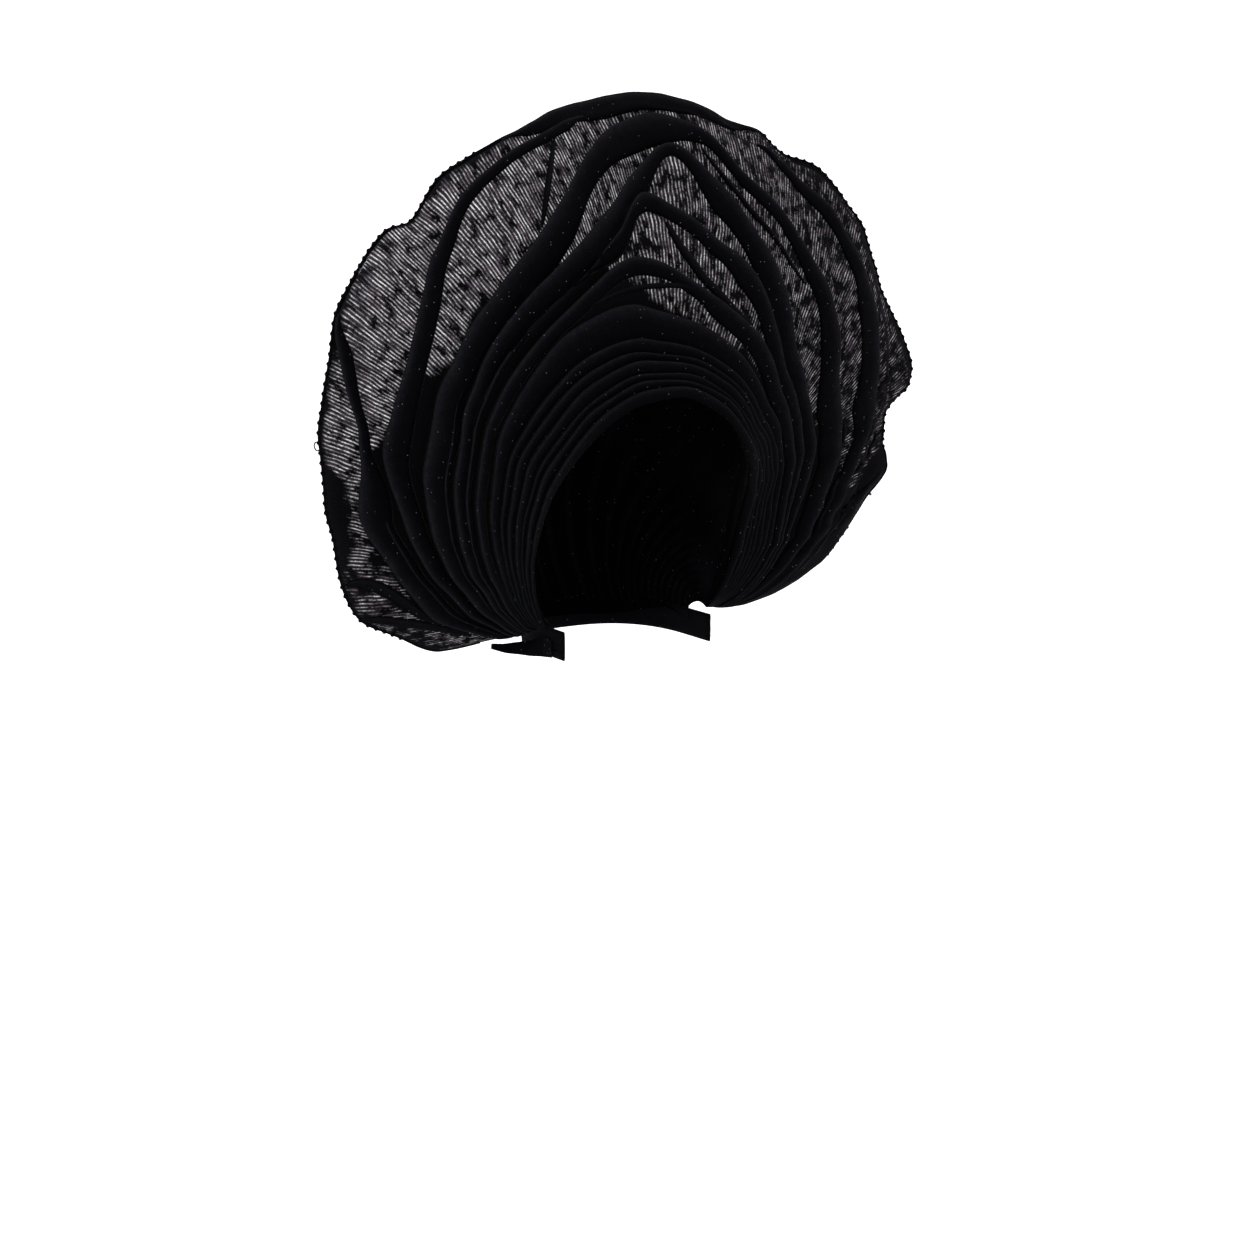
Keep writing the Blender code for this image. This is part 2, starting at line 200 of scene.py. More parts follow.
def pieceOf(name, parts):
    # joins sheets into one piece
    bpy.ops.object.select_all(action="DESELECT")
    for part in parts:
        part.select_set(True)
    bpy.context.view_layer.objects.active = parts[0]
    if len(parts) > 1:
        bpy.ops.object.join()
    parts[0].name = name
    parts[0].data.name = name
    return parts[0]


def closeEnds(piece):
    # fills the open ends of a piece's tubes and turns every face outward
    bm = bmesh.new()
    bm.from_mesh(piece.data)
    bmesh.ops.holes_fill(bm, edges=[edge for edge in bm.edges if edge.is_boundary], sides=0)
    bmesh.ops.recalc_face_normals(bm, faces=bm.faces[:])
    bm.to_mesh(piece.data)
    bm.free()


def markPoints(obj, name, values):
    layer = obj.data.attributes.new(name, "FLOAT", "POINT")
    layer.data.foreach_set("value", np.asarray(values, np.float32).ravel())


# Materials
def hexColour(text):
    def linear(part):
        value = int(part, 16) / 255
        return value / 12.92 if value <= 0.04045 else ((value + 0.055) / 1.055) ** 2.4
    return [linear(text[k:k + 2]) for k in (0, 2, 4)] + [1.0]


def addNode(tree, kind, settings=(), links=()):
    node = tree.nodes.new(kind)
    for key, value in dict(settings).items():
        if isinstance(key, int) or key in node.inputs.keys():
            node.inputs[key].default_value = value
        else:
            setattr(node, key, value)
    for socket, source in dict(links).items():
        tree.links.new(source, node.inputs[socket])
    return node


def newMaterial(name):
    made = bpy.data.materials.new(name)
    made.use_nodes = True
    return made, made.node_tree, made.node_tree.nodes["Principled BSDF"]


def maths(tree, operation, a, b=None, c=None):
    settings, links = {"operation": operation}, {}
    for k, value in enumerate((a, b, c)):
        if value is None:
            continue
        if isinstance(value, (int, float)):
            settings[k] = value
        else:
            links[k] = value
    return addNode(tree, "ShaderNodeMath", settings, links).outputs[0]


def mixColours(tree, a, b, amount):
    # each end is a hex colour or another node's output
    node = addNode(tree, "ShaderNodeMix", {"data_type": "RGBA"}, {0: amount})
    for socket, end in ((6, a), (7, b)):
        if isinstance(end, str):
            node.inputs[socket].default_value = hexColour(end)
        else:
            tree.links.new(end, node.inputs[socket])
    return node.outputs[2]


# the "thread" colour is the painted highlight that the sheet's folds take towards their edges
openwork = {
    "colour": "030304", "thread": "0d0d10", "lurex": "4a2c4a", "pitch": 2.4, "slitShare": 0.27,
    "clear": 0.66, "haze": 0.025, "dash": 14.0, "slub": 10.0, "flaw": 1.3, "roughness": 0.85,
}
weaveUnit = 100  # the weave map counts in units of 100 mm


def openworkMaterial():
    # woven openwork cotton: close black threads with long slits that let the light show as fine dashes
    made, tree, shader = newMaterial("openwork woven cotton")
    flat = addNode(tree, "ShaderNodeUVMap", {"uv_map": "weave"})
    parts = addNode(tree, "ShaderNodeSeparateXYZ", {}, {0: flat.outputs[0]})
    across, along = parts.outputs[0], parts.outputs[1]
    wander = addNode(tree, "ShaderNodeTexNoise", {"Scale": 7.0, "Detail": 1.0}, {"Vector": flat.outputs[0]})
    sway = maths(tree, "MULTIPLY", maths(tree, "SUBTRACT", wander.outputs[0], 0.5), 1.3)
    column = maths(tree, "MULTIPLY_ADD", across, weaveUnit / openwork["pitch"], sway)
    number = maths(tree, "FLOOR", column)
    inside = maths(tree, "ABSOLUTE", maths(tree, "SUBTRACT", maths(tree, "FRACT", column), 0.5))
    edge = openwork["slitShare"] / 2
    slit = addNode(
        tree, "ShaderNodeMapRange", {"From Min": edge + 0.1, "From Max": edge - 0.1}, {"Value": inside})
    own = addNode(tree, "ShaderNodeTexWhiteNoise", {"noise_dimensions": "1D"}, {"W": number})
    shift = maths(tree, "MULTIPLY", own.outputs[0], 60.0)
    run = maths(tree, "MULTIPLY_ADD", along, weaveUnit / openwork["dash"], shift)
    dash = addNode(
        tree, "ShaderNodeTexNoise", {"noise_dimensions": "1D", "Scale": 1.0, "Detail": 3.0}, {"W": run})
    dashes = addNode(
        tree, "ShaderNodeMapRange", {"From Min": 0.36, "From Max": 0.58, "To Min": 0.15},
        {"Value": dash.outputs[0]})
    slubSpot = addNode(tree, "ShaderNodeMapping", {"Scale": (1.4, 0.9, 1.0)}, {"Vector": flat.outputs[0]})
    slub = addNode(
        tree, "ShaderNodeTexNoise", {"Scale": weaveUnit / openwork["slub"], "Detail": 6.0, "Roughness": 0.70},
        {"Vector": slubSpot.outputs[0]})
    openness = addNode(tree, "ShaderNodeAttribute", {"attribute_name": "openness"})
    # the duller panels are more closely woven
    closer = maths(tree, "MULTIPLY_ADD", openness.outputs["Fac"], -0.10, 0.10)
    slubs = addNode(
        tree, "ShaderNodeMapRange", {"From Min": 0.59, "From Max": 0.44},
        {"Value": maths(tree, "ADD", slub.outputs[0], closer)})
    fine = addNode(
        tree, "ShaderNodeTexNoise", {"Scale": weaveUnit / openwork["flaw"], "Detail": 1.0},
        {"Vector": flat.outputs[0]})
    broken = addNode(
        tree, "ShaderNodeMapRange", {"From Min": 0.34, "From Max": 0.56, "To Min": 0.30},
        {"Value": fine.outputs[0]})
    dashed = maths(tree, "MULTIPLY", slit.outputs[0], dashes.outputs[0])
    lines = maths(tree, "MULTIPLY", dashed, openwork["clear"])
    light = maths(tree, "MULTIPLY", maths(tree, "ADD", lines, openwork["haze"]), slubs.outputs[0])
    light = maths(tree, "MULTIPLY", light, broken.outputs[0])
    light = maths(tree, "MULTIPLY", light, openness.outputs["Fac"])
    alpha = maths(tree, "SUBTRACT", 1.0, light)
    # painted light on the sheet's folds: painted shade at their feet, the painted highlight colour towards
    # their edges
    crest = addNode(tree, "ShaderNodeAttribute", {"attribute_name": "crest"})
    ground = mixColours(tree, openwork["colour"], openwork["thread"], crest.outputs["Fac"])
    gaps = maths(tree, "MULTIPLY", slit.outputs[0], slubs.outputs[0])
    lit = maths(tree, "MULTIPLY", gaps, openness.outputs["Fac"])
    withLurex = mixColours(tree, ground, openwork["lurex"], lit)
    tree.links.new(withLurex, shader.inputs["Base Color"])
    tree.links.new(alpha, shader.inputs["Alpha"])
    bump = addNode(
        tree, "ShaderNodeBump", {"Strength": 0.25, "Distance": 0.0004}, {"Height": slit.outputs[0]})
    tree.links.new(bump.outputs[0], shader.inputs["Normal"])
    shader.inputs["Roughness"].default_value = openwork["roughness"]
    shader.inputs["Specular IOR Level"].default_value = 0.015
    return made


# "lift" is the painted highlight colour on the folds' crests; the folds' feet get none of it, as painted
# shade
folded = {"colour": "010102", "lift": "121216", "sparkle": "4c4c56", "thread": 0.9, "roughness": 0.8}


def foldedMaterial(name):
    # several layers of the same cotton: near black, a faint weave, painted highlights on the fold crests, and
    # painted pin-prick glints from the lurex
    made, tree, shader = newMaterial(name)
    spot = addNode(tree, "ShaderNodeTexCoord")
    place = spot.outputs["Object"]
    mottle = addNode(tree, "ShaderNodeTexNoise", {"Scale": 220.0, "Detail": 3.0}, {"Vector": place})
    crest = addNode(tree, "ShaderNodeAttribute", {"attribute_name": "crest"})
    grain = addNode(tree, "ShaderNodeTexNoise", {"Scale": 1100.0, "Detail": 1.0}, {"Vector": place})
    patchy = maths(tree, "ADD", mottle.outputs[0], grain.outputs[0])
    # painted highlight on the folds' crests, broken up by a random mottle
    paintedLightMottled = maths(tree, "MULTIPLY", crest.outputs["Fac"], patchy)
    base = mixColours(tree, folded["colour"], folded["lift"], paintedLightMottled)
    # painted highlights: pin-prick glints of the lurex put into the base colour
    cells = addNode(tree, "ShaderNodeTexVoronoi", {"Scale": 420.0}, {"Vector": place})
    near = addNode(
        tree, "ShaderNodeMapRange", {"From Min": 0.17, "From Max": 0.08},
        {"Value": cells.outputs["Distance"]})
    pick = addNode(tree, "ShaderNodeSeparateXYZ", {}, {0: cells.outputs["Color"]})
    rare = maths(tree, "GREATER_THAN", pick.outputs[0], 0.87)
    glint = maths(tree, "MULTIPLY", near.outputs[0], rare)
    tree.links.new(mixColours(tree, base, folded["sparkle"], glint), shader.inputs["Base Color"])
    weave = addNode(
        tree, "ShaderNodeTexNoise", {"Scale": 1000 / folded["thread"], "Detail": 1.0}, {"Vector": place})
    bump = addNode(
        tree, "ShaderNodeBump", {"Strength": 0.35, "Distance": 0.0003}, {"Height": weave.outputs[0]})
    tree.links.new(bump.outputs[0], shader.inputs["Normal"])
    shader.inputs["Roughness"].default_value = folded["roughness"]
    shader.inputs["Specular IOR Level"].default_value = 0.01
    shader.inputs["Sheen Weight"].default_value = 0.01
    shader.inputs["Sheen Roughness"].default_value = 0.35
    return made


openworkCotton = openworkMaterial()
foldedCotton = foldedMaterial("folded woven cotton")
print("materials ready")


# The fan: one sheet with the see-through panels, and the folded tucks that lie on it
fan = {
    "stations": 620,
    "tucked": 7.0,  # how far the sheet runs on under the wrap's last pleat
    "segmentRuns": (0.0, 0.06, 0.18, 0.32, 0.46, 0.60, 0.73, 0.84, 0.92, 0.97),
    "openFrom": (  # station, the share where the single layer begins
        (0.00, 0.44), (0.05, 0.50), (0.08, 0.61), (0.12, 0.68), (0.15, 0.77), (0.20, 0.86), (0.225, 0.84),
        (0.24, 0.785), (0.28, 0.745), (0.295, 0.70), (0.31, 0.63), (0.34, 0.61), (0.38, 0.63), (0.40, 0.56),
        (0.42, 0.53), (0.445, 0.48), (0.46, 0.40), (0.48, 0.30), (0.50, 0.25), (0.54, 0.20), (0.58, 0.20),
        (0.62, 0.25), (0.66, 0.29), (0.70, 0.34), (0.75, 0.46), (0.80, 0.60), (0.84, 0.62), (1.00, 0.70),
    ),
    "closedFrom": (  # station, the share where the rim side is folded double again
        (0.00, 0.99), (0.13, 0.99), (0.145, 0.96), (0.18, 0.92), (0.21, 0.915), (0.225, 0.99), (0.50, 0.992),
        (0.79, 0.99), (0.81, 0.78), (0.825, 0.64), (0.85, 0.62), (1.00, 0.62),
    ),
    "showThrough": (  # station, how clear the single layer is
        (0.00, 0.45), (0.10, 0.52), (0.16, 0.58), (0.20, 0.80), (0.25, 1.0), (0.40, 1.0), (0.46, 0.80),
        (0.50, 0.72), (0.56, 0.62), (0.62, 0.55), (0.69, 0.50), (0.73, 0.42), (0.80, 0.45), (0.84, 0.50),
        (1.00, 0.55),
    ),
    # a small single-layer tip at the lower right rim: station, half width, from share
    "patch": (0.873, 0.016, 0.90),
    "tuckedUnder": 1.4,  # how deep the sheet's first row lies under the wrap
    "flatSpacing": 0.37,  # how far one panel's threads are shifted from the next's, in weave units
}
crumpled = {  # heights in millimetres, the number of gathers, and the pulled corner's station and width
    "gather": 0.7, "gathers": 31, "crumple": 0.8, "cornerAt": 0.76, "cornerWide": 0.05, "corner": 1.0,
}
foldOrder = ("hollow", "inner", "peak", "arch", "wing", "hem")


def foldRelief(station, share):
    # the sheet climbs to each fold's edge and drops behind it
    length = spokeLength(station)
    start = edgeOf("brow", station)
    total = np.zeros(np.broadcast(station, share).shape)
    for fold in foldOrder:
        end = edgeOf(fold, station)
        width = (end - start) * length
        rise = bySide(station, foldRise[fold]) * np.clip(width / 9.0, 0, 1) ** 1.5 * foldRoom(length)
        t = np.clip((share - start) / np.maximum(end - start, 1e-6), 0, 1)
        drop = np.clip((share - end) * length / cloth["foldStep"], 0, 1)
        climbs = np.where(share <= end, rise * t ** 1.4, rise * (1 - drop) ** 2)
        total = np.where(share > start, climbs, total)
        start = end
    return total


def wrinkles(station, share):
    # gathers that run out from the nape, a soft crumple, and the pulled corner at the right
    length = spokeLength(station)
    grow = np.clip((share - 0.1) / 0.5, 0, 1) * foldRoom(length)
    a, b = station * 40, share * 9
    waves = np.sin(2 * np.pi * (crumpled["gathers"] * station + 0.35 * drift(a * 0.4, b * 0.3, 3)))
    gathers = waves * (0.5 + 0.5 * drift(a * 0.5, b * 0.4, 4))
    crumple = drift(a * 1.3, b * 1.6, 7) * 0.9 + drift(a * 3.1, b * 3.5, 8) * 0.45
    crumple = crumple + drift(a * 6.5, b * 8, 9) * 0.25
    near = np.exp(-((station - crumpled["cornerAt"]) / crumpled["cornerWide"]) ** 2)
    corner = near * np.clip((share - 0.6) / 0.2, 0, 1) * crumpled["corner"]
    creased = crumpled["gather"] * gathers + crumpled["crumple"] * crumple
    return grow * creased + corner * drift(a * 7, b * 8, 12)


# The ball-headed pin draws the rim in a little and holds it flat
pinDip = {
    "station": 0.832, "halfWidth": 0.006, "share": 0.016, "flatWidth": 0.018, "flatFrom": 0.88, "flat": 0.85,
}


def onFan(station, share, lift=0.0, hold=None):
    # hold keeps a tuck level where the sheet under it already drops
    aside = (station - pinDip["station"]) ** 2
    share = share * (1 - pinDip["share"] * np.exp(-aside / pinDip["halfWidth"] ** 2))
    held = np.exp(-aside / pinDip["flatWidth"] ** 2) * np.clip((share - pinDip["flatFrom"]) / 0.08, 0, 1)
    level = share if hold is None else np.minimum(share, hold)
    height = (foldRelief(station, level) + wrinkles(station, level) + lift) * (1 - pinDip["flat"] * held)
    return clothAt(station, share) + clothFacing(station, np.minimum(share, 0.995)) * height[..., None]


def stationRun(count, first=None, last=None):
    first = cloth["endTrim"] if first is None else first
    last = 1 - cloth["endTrim"] if last is None else last
    return np.linspace(first, last, count)


def weaveAcross(station, share):
    # the real way along the sheet at the panel's middle, so that the threads keep their spacing
    places = clothAt(station, share)
    steps = np.linalg.norm(np.diff(places, axis=0), axis=-1)
    return np.concatenate([[0.0], np.cumsum(steps)])


def paintedFoldLight(climb):
    # painted light on a fold: painted shade at its foot, a painted highlight brightest just before its edge
    climb = np.asarray(climb, float)
    return np.clip(climb / 0.3, 0, 1) * 0.11 + 0.89 * climb ** 5


def buildFanSheet():
    station = stationRun(fan["stations"])
    length = spokeLength(station)
    names = ("brow",) + foldOrder
    edges = [edgeOf(name, station) for name in names] + [np.ones_like(station)]
    shares = [edges[0] - fan["tucked"] / length, edges[0] - 2.0 / length]
    flat = [(0, 0), (0, 0)]
    for k in range(len(edges) - 1):
        foot = cloth["foldStep"] / length if k else 0.0
        for t in fan["segmentRuns"]:
            shares.append(edges[k] + foot + (edges[k + 1] - edges[k] - foot) * t)
            flat.append((k, t))
        if k < len(edges) - 2:
            shares.append(edges[k + 1])
            flat.append((k, 1.0))
    shares.append(edges[-1])
    flat.append((len(edges) - 2, 1.0))
    shares = np.stack(shares, 1)
    grid = np.repeat(station[:, None], shares.shape[1], 1)
    places = onFan(grid, shares)
    first, under = grid[:, :1], shares[:, :1]
    places[:, :1] = clothAt(first, under) - clothFacing(first, under) * fan["tuckedUnder"]
    uv = np.zeros(places.shape[:2] + (2,))
    for k in range(len(edges) - 1):
        middle = (edges[k] + edges[k + 1]) / 2
        across = weaveAcross(station, middle)
        for column, (segment, _) in enumerate(flat):
            if segment == k:
                uv[:, column, 0] = across / weaveUnit + k * fan["flatSpacing"]
    uv[..., 1] = shares * length[:, None] / weaveUnit
    # each quad takes one segment's threads, so that they stay straight inside a panel
    rows, columns = places.shape[:2]
    index = np.arange(rows * columns).reshape(rows, columns)
    quads = np.stack([index[:-1, :-1], index[1:, :-1], index[1:, 1:], index[:-1, 1:]], -1)
    mesh = bpy.data.meshes.new("fan_sheet")
    mesh.from_pydata((places.reshape(-1, 3) * mm).tolist(), [], quads.reshape(-1, 4).tolist())
    corner = np.zeros(quads.shape[:2] + (4, 2), np.float32)
    for column in range(columns - 1):
        own = uv[:, column + 1, 0]
        corner[:, column, 0, 0], corner[:, column, 1, 0] = own[:-1], own[1:]
        corner[:, column, 2, 0], corner[:, column, 3, 0] = own[1:], own[:-1]
        corner[:, column, 0, 1], corner[:, column, 1, 1] = uv[:-1, column, 1], uv[1:, column, 1]
        corner[:, column, 2, 1], corner[:, column, 3, 1] = uv[1:, column + 1, 1], uv[:-1, column + 1, 1]
    layer = mesh.uv_layers.new(name="weave")
    layer.data.foreach_set("uv", corner.ravel())
    mesh.polygons.foreach_set("use_smooth", [True] * len(mesh.polygons))
    made = bpy.data.objects.new("fan_sheet", mesh)
    bpy.context.scene.collection.objects.link(made)
    wide = length[:, None]
    limit, end = (smoothRun(fan[name], 1, station)[:, None] for name in ("openFrom", "closedFrom"))
    ragged = 3.0 * drift(grid * 90, shares * 30, 33)
    openness = np.clip(((shares - limit) * wide + ragged) / 3.0, 0, 1)
    openness *= np.clip(((end - shares) * wide + ragged) / 3.0, 0, 1)
    middle, half, low = fan["patch"]
    patch = np.clip(2 - 2 * np.abs((grid - middle) / half), 0, 1)
    patch = patch * np.clip((shares - low) * wide / 2.0, 0, 1)
    openness = np.maximum(openness, patch) * np.clip((1 - shares) * wide / 2.0, 0, 1)
    markPoints(made, "openness", openness * smoothRun(fan["showThrough"], 1, station)[:, None])
    # painted light on the sheet: painted shade at each fold's foot, a painted highlight towards its edge
    climb = np.array([t for _, t in flat])[None]
    markPoints(made, "crest", np.repeat(paintedFoldLight(climb), len(station), 0))
    mesh.materials.append(openworkCotton)
    return made


tucks = {
    # width of each folded band as a share: station, brow, hollow, inner, peak, arch, wing, hem
    "widths": (
        (0.00, 0, 0.03, 0, 0.035, 0.05, 0.045, 0.05),
        (0.05, 0, 0.03, 0, 0.04, 0.065, 0.05, 0.08),
        (0.10, 0, 0.04, 0, 0.055, 0.085, 0.07, 0.15),
        (0.15, 0, 0.05, 0, 0.075, 0.10, 0.095, 0.14),
        (0.20, 0, 0.05, 0, 0.07, 0.105, 0.10, 0.14),
        (0.25, 0, 0.05, 0, 0.06, 0.11, 0.10, 0.035),
        (0.28, 0, 0.05, 0, 0.06, 0.12, 0.08, 0.045),
        (0.30, 0, 0.045, 0, 0.07, 0.12, 0.07, 0.05),
        (0.345, 0, 0.05, 0, 0.07, 0.11, 0.065, 0),
        (0.40, 0, 0.045, 0, 0.07, 0.10, 0.03, 0),
        (0.43, 0, 0.05, 0, 0.09, 0.11, 0.025, 0.02),
        (0.46, 0, 0.05, 0.03, 0.14, 0.08, 0.025, 0.06),
        (0.48, 0, 0.04, 0.05, 0.09, 0.09, 0, 0.07),
        (0.50, 0, 0.035, 0.05, 0.03, 0.08, 0, 0.06),
        (0.52, 0, 0.05, 0.05, 0.09, 0.04, 0, 0.05),
        (0.54, 0, 0.05, 0.08, 0.07, 0.035, 0, 0.04),
        (0.57, 0, 0.05, 0.06, 0.11, 0.04, 0.02, 0),
        (0.60, 0, 0.04, 0.045, 0.07, 0.06, 0.04, 0),
        (0.64, 0, 0.035, 0.04, 0.05, 0.10, 0.06, 0),
        (0.68, 0, 0.03, 0.035, 0.04, 0.11, 0.12, 0),
        (0.71, 0, 0.03, 0.035, 0.04, 0.09, 0.13, 0.02),
        (0.75, 0, 0.03, 0.035, 0.04, 0.09, 0.07, 0.02),
        (0.80, 0, 0.03, 0.03, 0.03, 0.09, 0.08, 0.05),
        (0.85, 0, 0.03, 0.03, 0.03, 0.07, 0.08, 0.07),
        (0.92, 0, 0.03, 0.03, 0.03, 0.06, 0.08, 0.06),
        (1.00, 0, 0.03, 0.03, 0.03, 0.06, 0.08, 0.06),
    ),
    "spans": {  # first and last station of each band
        "hollow": (0.02, 0.98), "inner": (0.445, 0.98), "peak": (0.02, 0.98), "arch": (0.02, 0.98),
        "wing": (0.02, 0.47), "wingRight": (0.56, 0.98), "hem": (0.02, 0.303), "crest": (0.425, 0.565),
        "tip": (0.815, 0.98),
    },
    "lift": {"hollow": 1.6, "inner": 1.6, "peak": 2.2, "arch": 2.4, "wing": 2.4, "hem": 1.8},
    "stations": 900,
    "minorStations": 260,
    "creaseStations": 90,
    "section": (0.0, 0.12, 0.28, 0.46, 0.64, 0.80, 0.91, 0.97),
    "crestOuter": 0.993,  # the crest lies along the crown's rim, the tip at the lower right
    "tipOuter": 0.97,
    "tipWidth": 0.22,
    "taper": 0.012,  # how long a band takes to reach its width, in stations
    "slimmest": 0.006,
}
minorPleats = (  # between two folds: inner fold, outer fold, how far, first, last station, width, lift
    ("hollow", "peak", 0.45, 0.03, 0.38, 3.2, 1.5),
    ("peak", "arch", 0.30, 0.03, 0.34, 3.4, 1.5),
    ("peak", "arch", 0.62, 0.03, 0.30, 3.2, 1.4),
    ("arch", "wing", 0.50, 0.03, 0.22, 3.2, 1.4),
    ("wing", "hem", 0.45, 0.04, 0.20, 3.0, 1.3),
    ("arch", "wing", 0.30, 0.72, 0.97, 3.2, 1.5),
    ("arch", "wing", 0.62, 0.78, 0.97, 3.0, 1.4),
    ("wing", "hem", 0.50, 0.82, 0.97, 3.0, 1.3),
)
creases = {  # single folds across the panels: start and end as station and share, and the middle's bow
    "right divider": {
        "start": (0.52, 0.82), "end": (0.60, 0.56), "bow": (-0.01, -0.04), "width": 4.5, "lift": 2.0},
    "right of the hollow": {
        "start": (0.49, 0.55), "end": (0.55, 0.30), "bow": (-0.01, -0.04), "width": 7.0, "lift": 2.2},
    "lip of the hollow": {
        "start": (0.42, 0.40), "end": (0.51, 0.31), "bow": (0.01, 0.01), "width": 3.6, "lift": 1.8},
    "upper left": {
        "start": (0.45, 0.92), "end": (0.42, 0.70), "bow": (0.0, 0.0), "width": 4.0, "lift": 1.8},
    "lower left": {
        "start": (0.13, 0.98), "end": (0.08, 0.62), "bow": (0.02, 0.0), "width": 8.0, "lift": 2.4},
    "lowest left": {
        "start": (0.10, 0.98), "end": (0.06, 0.60), "bow": (0.01, 0.0), "width": 6.5, "lift": 2.2},
    "right rim": {
        "start": (0.74, 0.60), "end": (0.73, 0.96), "bow": (-0.01, 0.0), "width": 5.0, "lift": 2.2},
    "right corner": {
        "start": (0.80, 0.70), "end": (0.78, 0.97), "bow": (0.0, 0.0), "width": 4.5, "lift": 2.0},
}


def tuckStrip(name, station, outer, width, lift):
    # a flattened tube: the top layer climbs to a rounded edge and turns back under
    length = spokeLength(station)
    inner = outer - width
    # the crest marks are painted light: painted shade at the top layer's foot, a painted highlight up to and
    # round the rolled edge, painted shade on the layer turned under
    rows, lifts, crests = [], [], []
    for t in tucks["section"]:
        rows.append(inner + width * t)
        lifts.append(0.35 + lift * (0.35 + 0.65 * t) * min(1, t * 6 + 0.1))
        crests.append(paintedFoldLight(t))
    edge = ((0.35, 0.97), (0.75, 0.72), (0.85, 0.42), (0.45, 0.22))
    for over, part in edge:
        rows.append(outer + over / length)
        lifts.append(0.35 + lift * part)
        crests.append(0.9 * part ** 2)
    for t in (0.9, 0.5, 0.05):
        rows.append(inner + width * t)
        lifts.append(0.25)
        crests.append(0.0)
    shares = np.stack(rows, 1)
    grid = np.repeat(station[:, None], shares.shape[1], 1)
    fade = np.clip(np.minimum(station - station[0], station[-1] - station) / tucks["taper"], 0.05, 1) ** 0.5
    raised = np.stack([np.full_like(station, value) for value in lifts], 1) * fade[:, None]
    hold = np.repeat((outer - 0.2 / length)[:, None], shares.shape[1], 1)
    made = gridMesh(name, onFan(grid, shares, raised, hold), closed=True, flip=True)
    markPoints(made, "crest", np.repeat(np.array(crests, float)[None], len(station), 0))
    return made


def creaseStrip(name, start, end, bow, width, lift):
    count = tucks["creaseStations"]
    t = np.linspace(0, 1, count)
    station, share = (a + (b - a) * t + c * 4 * t * (1 - t) for a, b, c in zip(start, end, bow))
    middle = onFan(station, share)
    ahead = np.gradient(middle, axis=0)
    ahead /= np.linalg.norm(ahead, axis=1, keepdims=True)
    out = clothFacing(station, np.minimum(share, 0.99))
    side = np.cross(out, ahead)
    taper = np.sin(np.pi * np.clip(t, 0.02, 0.98)) ** 0.35
    turn = np.linspace(0, 2 * np.pi, 12, endpoint=False)
    across = np.cos(turn)[None, :, None] * side[:, None] * (width / 2 * taper)[:, None, None]
    over = np.where(np.sin(turn) > 0, np.sin(turn) * lift, np.sin(turn) * 0.4)[None, :, None]
    places = middle[:, None] + across + over * out[:, None] * taper[:, None, None]
    made = gridMesh(name, places, closed=True, flip=True)
    # painted light: a painted highlight over the crease's top, brightest on one flank, and painted shade
    # beneath it
    crest = np.clip(np.sin(turn), 0, 1) ** 2 * (0.3 + 0.6 * np.clip(np.cos(turn), 0, 1))
    markPoints(made, "crest", np.repeat(crest[None], count, 0))
    return made


def buildTucks():
    made = []
    for name, (first, last) in tucks["spans"].items():
        fold = {"wingRight": "wing", "crest": "hem", "tip": "hem"}.get(name, name)
        count = int(tucks["stations"] * (last - first) / 2) + 20
        station = stationRun(count, first, last)
        outer = edgeOf(fold, station)
        if name == "crest":
            outer = np.full_like(station, tucks["crestOuter"])
        width = smoothRun(tucks["widths"], edgeColumn[fold], station)
        if name == "tip":
            outer = np.full_like(station, tucks["tipOuter"])
            width = np.full_like(station, tucks["tipWidth"])
        # a band that reaches the nape keeps its full width there
        ends = np.ones_like(station)
        if first > 0.03:
            ends = np.minimum(ends, (station - first) / tucks["taper"])
        if last < 0.97:
            ends = np.minimum(ends, (last - station) / tucks["taper"])
        width = np.maximum(width * np.clip(ends, 0.15, 1), tucks["slimmest"])
        made.append(tuckStrip("tuck_" + name, station, outer, width, tucks["lift"][fold]))
    for k, (low, high, share, first, last, width, lift) in enumerate(minorPleats):
        station = stationRun(int(tucks["minorStations"] * (last - first)) + 30, first, last)
        a, b = edgeOf(low, station), edgeOf(high, station)
        length = spokeLength(station)
        wide = np.minimum(width / length, (b - a) * 0.3)
        made.append(tuckStrip(f"minor_{k}", station, a + (b - a) * share, wide, lift))
    for name, fold in creases.items():
        made.append(creaseStrip("crease " + name, **fold))
    piece = pieceOf("fan_tucks", made)
    piece.data.materials.append(foldedCotton)
    return piece


fanSheet = buildFanSheet()
fanTucks = buildTucks()
print("fan:", len(fanSheet.data.polygons), "and", len(fanTucks.data.polygons), "faces")


# The rim's edge: a rolled hem with picots where the photo shows them
edging = {
    "share": 0.999, "radius": 0.75, "picot": 0.95, "spacing": 6.0, "sides": 6, "samples": 1500,
    "picotZones": ((0.07, 0.415), (0.57, 0.80), (0.855, 0.885)),
}


def tubeAlong(name, path, radius, sides, squareTo=(0.0, 1.0, 0.0)):
    ahead = np.gradient(path, axis=0)
    ahead /= np.linalg.norm(ahead, axis=1, keepdims=True)
    side = np.cross(ahead, np.array(squareTo))
    side /= np.linalg.norm(side, axis=1, keepdims=True)
    up = np.cross(side, ahead)
    turn = np.linspace(0, 2 * np.pi, sides, endpoint=False)
    ring = path[:, None] + radius[:, None, None] * (
        np.cos(turn)[None, :, None] * side[:, None] + np.sin(turn)[None, :, None] * up[:, None])
    return gridMesh(name, ring, closed=True)


